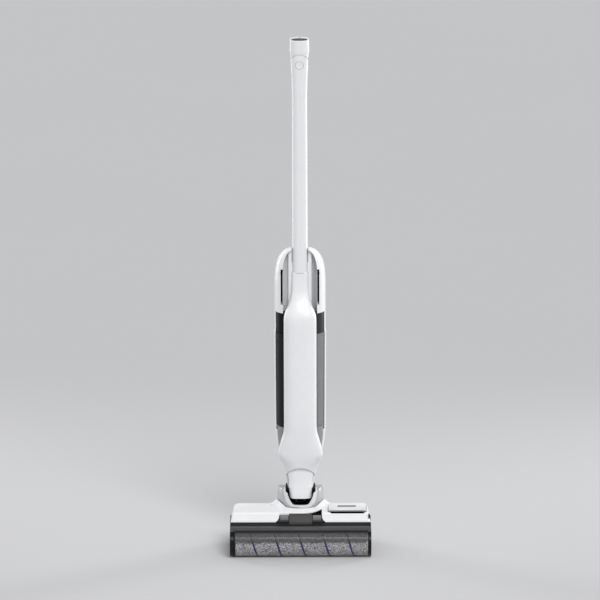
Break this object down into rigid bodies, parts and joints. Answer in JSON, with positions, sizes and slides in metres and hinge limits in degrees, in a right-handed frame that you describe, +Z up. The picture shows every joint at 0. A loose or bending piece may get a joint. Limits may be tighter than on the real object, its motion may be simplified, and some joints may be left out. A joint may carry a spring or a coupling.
{
  "type": "stick vacuum",
  "caption": "Slim cordless upright wet-and-dry stick vacuum: wide roller head, steering neck, column body with side water tanks under an arched housing, and a long straight handle.",
  "frame": {"origin": "on the floor, at the middle of the machine's outline seen from above", "axes": "+Z up along the upright stick, -Y to the front where the roller is, +X to the right seen from the front"},
  "size_m": [0.29, 0.1872, 1.063],
  "materials": {
    "white_plastic": "satin",
    "black_plastic": "matte",
    "gloss_black": "gloss",
    "grey_plastic": "satin",
    "satin_silver": "satin",
    "steel": "satin",
    "motor_case": "satin",
    "contact_gold": "polished",
    "rubber": "matte",
    "smoked_plastic": "gloss",
    "clear_plastic": "gloss",
    "microfibre": "matte",
    "cell_pack": "satin",
    "circuit_board": "satin",
    "filter_paper": "matte"
  },
  "bodies": {
    "head": {"head_base": "black_plastic", "gear_side_cover": "gloss_black", "head_top_cover": "white_plastic", "swivel_fork": "satin_silver", "pitch_pin_left": "steel", "pitch_pin_right": "steel", "roller_motor": "motor_case", "water_spray_bar": "grey_plastic", "roller_scraper": "rubber", "floor_squeegee": "rubber", "suction_duct": "grey_plastic", "head_hose": "black_plastic", "wheel_axle": "steel", "dock_contact_left": "contact_gold", "dock_contact_right": "contact_gold", "drive_belt": "rubber"},
    "roller_carrier": {"roller_end_cap": "gloss_black"},
    "roller": {"roller_core": "grey_plastic", "roller_sleeve": "microfibre"},
    "drive": {"drive_pulley": "grey_plastic"},
    "motor_shaft": {"motor_pinion": "steel"},
    "roller_cover": {"roller_cover_frame": "gloss_black", "roller_window": "smoked_plastic"},
    "cover_release": {"cover_release_button": "white_plastic"},
    "wheel_left": {"wheel_hub_left": "grey_plastic", "wheel_tyre_left": "rubber"},
    "wheel_right": {"wheel_hub_right": "grey_plastic", "wheel_tyre_right": "rubber"},
    "neck": {"neck_knuckle": "white_plastic", "neck_hose": "black_plastic", "steer_pin": "steel"},
    "stick": {"front_column": "white_plastic", "column_back_plate": "grey_plastic", "swivel_yoke": "satin_silver", "rear_shell_lower": "white_plastic", "tank_cradle_left": "grey_plastic", "tank_cradle_right": "grey_plastic", "riser_duct": "black_plastic", "water_pump": "grey_plastic", "upper_housing": "white_plastic", "vent_grille_left": "black_plastic", "vent_grille_right": "black_plastic", "suction_motor": "motor_case", "battery_pack": "cell_pack", "control_board": "circuit_board", "pole": "white_plastic", "pole_spigot": "satin_silver", "rear_grip": "rubber", "handle_head": "white_plastic", "display_lens": "gloss_black"},
    "dirty_tank": {"dirty_water_tank": "smoked_plastic", "dirty_tank_lid": "gloss_black", "dirty_tank_panel": "white_plastic", "dirty_tank_filter": "filter_paper"},
    "clean_tank": {"clean_water_tank": "clear_plastic", "clean_tank_lid": "gloss_black", "clean_tank_panel": "white_plastic"},
    "impeller": {"impeller": "grey_plastic"},
    "power_key": {"power_button": "white_plastic"},
    "self_clean_key": {"self_clean_button": "grey_plastic"}
  },
  "joints": [
    {"name": "neck_pitch", "type": "hinge", "parent": "head", "child": "neck", "pos_m": [0, 0.042, 0.11], "axis": [-1, 0, 0], "range_deg": [0, 80]},
    {"name": "neck_steer", "type": "hinge", "parent": "neck", "child": "stick", "pos_m": [0, 0.034, 0.133], "axis": [0, 1, 0], "range_deg": [-30, 30]},
    {"name": "roller_withdraw", "type": "slide", "parent": "head", "child": "roller_carrier", "axis": [1, 0, 0], "range_m": [0, 0.29]},
    {"name": "roller_spin", "type": "hinge", "parent": "roller_carrier", "child": "roller", "pos_m": [0, -0.064, 0.0275], "axis": [1, 0, 0], "continuous": true},
    {"name": "drive_spin", "type": "hinge", "parent": "head", "child": "drive", "pos_m": [0, -0.064, 0.0275], "axis": [1, 0, 0], "continuous": true},
    {"name": "motor_spin", "type": "hinge", "parent": "head", "child": "motor_shaft", "pos_m": [0, 0.003, 0.036], "axis": [1, 0, 0], "continuous": true},
    {"name": "roller_cover_lift", "type": "slide", "parent": "head", "child": "roller_cover", "axis": [0, 0, 1], "range_m": [0, 0.06]},
    {"name": "cover_release_press", "type": "slide", "parent": "head", "child": "cover_release", "axis": [0, 0, -1], "range_m": [0, 0.0018], "stiffness_N_per_m": 600},
    {"name": "wheel_left_roll", "type": "hinge", "parent": "head", "child": "wheel_left", "pos_m": [0, 0.06, 0.026], "axis": [1, 0, 0], "continuous": true},
    {"name": "wheel_right_roll", "type": "hinge", "parent": "head", "child": "wheel_right", "pos_m": [0, 0.06, 0.026], "axis": [1, 0, 0], "continuous": true},
    {"name": "dirty_tank_slide", "type": "slide", "parent": "stick", "child": "dirty_tank", "axis": [0, 1, 0], "range_m": [0, 0.12]},
    {"name": "clean_tank_slide", "type": "slide", "parent": "stick", "child": "clean_tank", "axis": [0, 1, 0], "range_m": [0, 0.12]},
    {"name": "impeller_spin", "type": "hinge", "parent": "stick", "child": "impeller", "pos_m": [0, 0.059, 0.51], "axis": [0, 0, 1], "continuous": true},
    {"name": "power_press", "type": "slide", "parent": "stick", "child": "power_key", "axis": [0, 1, 0], "range_m": [0, 0.0012], "stiffness_N_per_m": 500},
    {"name": "self_clean_press", "type": "slide", "parent": "stick", "child": "self_clean_key", "axis": [0, 0, -1], "range_m": [0, 0.001], "stiffness_N_per_m": 500}
  ],
  "couplings": [
    {"joint": "drive_spin", "follows": "roller_spin", "ratio": 1},
    {"joint": "motor_spin", "follows": "roller_spin", "ratio": 2.0833}
  ]
}
